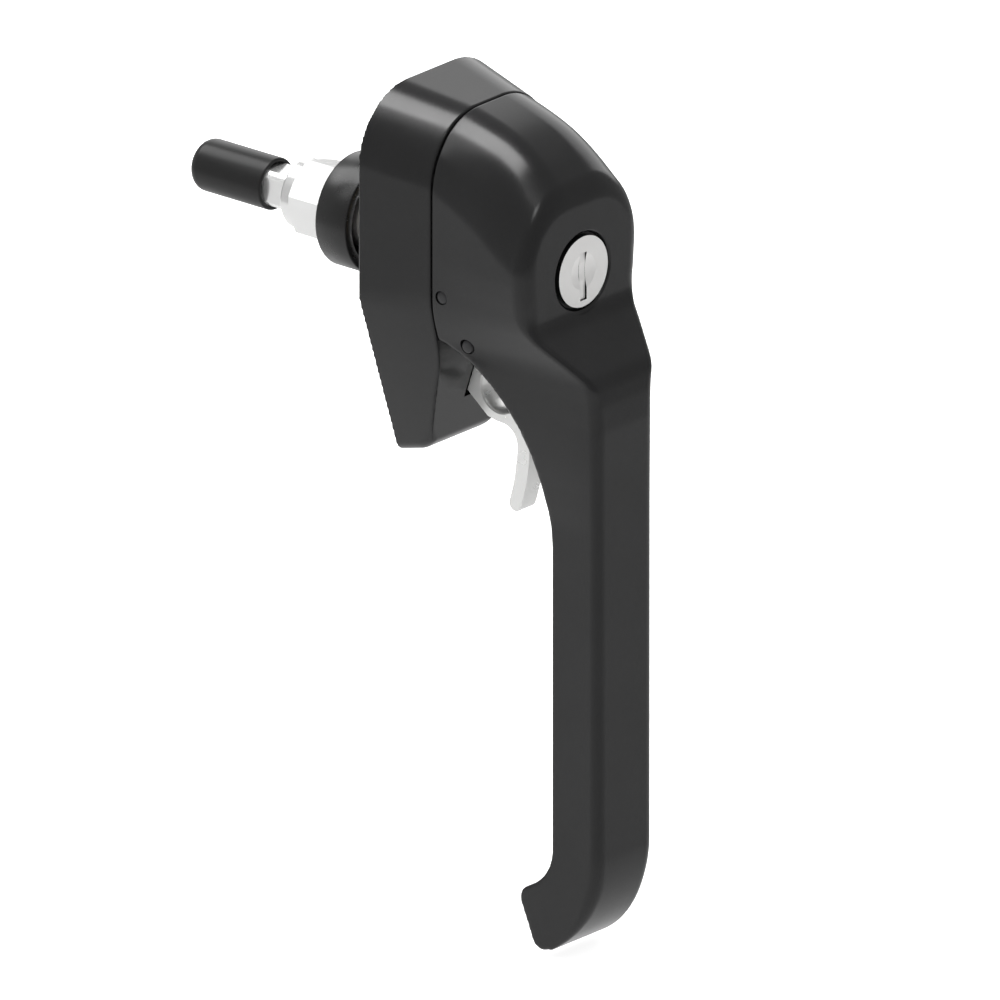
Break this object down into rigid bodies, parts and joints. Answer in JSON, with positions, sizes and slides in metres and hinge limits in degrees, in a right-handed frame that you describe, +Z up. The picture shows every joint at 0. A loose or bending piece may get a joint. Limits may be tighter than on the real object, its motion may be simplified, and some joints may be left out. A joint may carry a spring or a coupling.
{
  "type": "l-handle lock",
  "caption": "L-shaped turning door handle with square spindle, key lock in the head, bright spring trigger with a ring hole, and locknut, washer and collar behind the door.",
  "frame": {"origin": "spindle axis where it crosses the plane of the base's back face, which lies on the door", "axes": "+Z up along the handle, +Y along the spindle into the door, +X to the right seen from the front"},
  "size_m": [0.0466, 0.1194, 0.1903],
  "materials": {
    "black_casting": "satin black powder coat on die-cast zinc",
    "bright_lever": "bright chrome-plated casting",
    "lock_face": "satin nickel",
    "zinc_steel": "bright zinc-plated steel",
    "black_pin": "steel pin coated with the casting",
    "gloss_cap": "smooth glossy black plastic",
    "black_plastic": "smooth black plastic",
    "grey_sleeve": "sintered grey steel",
    "brass": "machined brass",
    "spring_steel": "drawn spring steel",
    "bearing_steel": "polished ball",
    "dark_zinc": "black zinc casting",
    "cam_steel": "pressed steel",
    "nylon": "natural nylon"
  },
  "bodies": {
    "base": {"base_housing": "black_casting"},
    "handle": {"handle_casting": "black_casting", "spindle": "zinc_steel", "spindle_pin": "black_pin", "spindle_bush": "brass", "bush_circlip": "spring_steel", "detent_ball": "bearing_steel", "detent_spring": "spring_steel", "trigger_pivot_pin": "black_pin", "lock_body": "dark_zinc", "lock_clip": "spring_steel", "door_collar": "black_plastic", "collar_sleeve": "grey_sleeve", "washer": "zinc_steel", "nyloc_nut": "zinc_steel", "nut_insert": "nylon", "end_cap": "gloss_cap"},
    "trigger": {"trigger_lever": "bright_lever", "trigger_spring": "spring_steel"},
    "plug": {"key_plug": "lock_face", "lock_wafers": "brass", "wafer_springs": "spring_steel", "plug_cam": "cam_steel", "cam_screw": "cam_steel"},
    "bolt": {"lock_bolt": "cam_steel"},
    "shutter": {"keyway_shutter": "lock_face"}
  },
  "joints": [
    {"name": "handle_turn", "type": "hinge", "parent": "base", "child": "handle", "pos_m": [0, 0, 0], "axis": [0, -1, 0], "range_deg": [0, 90]},
    {"name": "trigger_pull", "type": "hinge", "parent": "handle", "child": "trigger", "pos_m": [0, -0.0248, -0.016], "axis": [-1, 0, 0], "range_deg": [-4, 12], "stiffness_Nm_per_rad": 0.06},
    {"name": "key_turn", "type": "hinge", "parent": "handle", "child": "plug", "pos_m": [0, -0.035, 0.0012], "axis": [0, 1, 0], "range_deg": [0, 90]},
    {"name": "bolt_swing", "type": "hinge", "parent": "handle", "child": "bolt", "pos_m": [-0.0095, -0.025, 0.0012], "axis": [0, -1, 0], "range_deg": [0, 15]},
    {"name": "shutter_flap", "type": "hinge", "parent": "plug", "child": "shutter", "pos_m": [-0.00075, -0.04295, 0.0001], "axis": [0, 0, 1], "range_deg": [0, 75], "stiffness_Nm_per_rad": 0.000004}
  ],
  "couplings": [
    {"joint": "bolt_swing", "follows": "key_turn", "ratio": 0.16667}
  ]
}
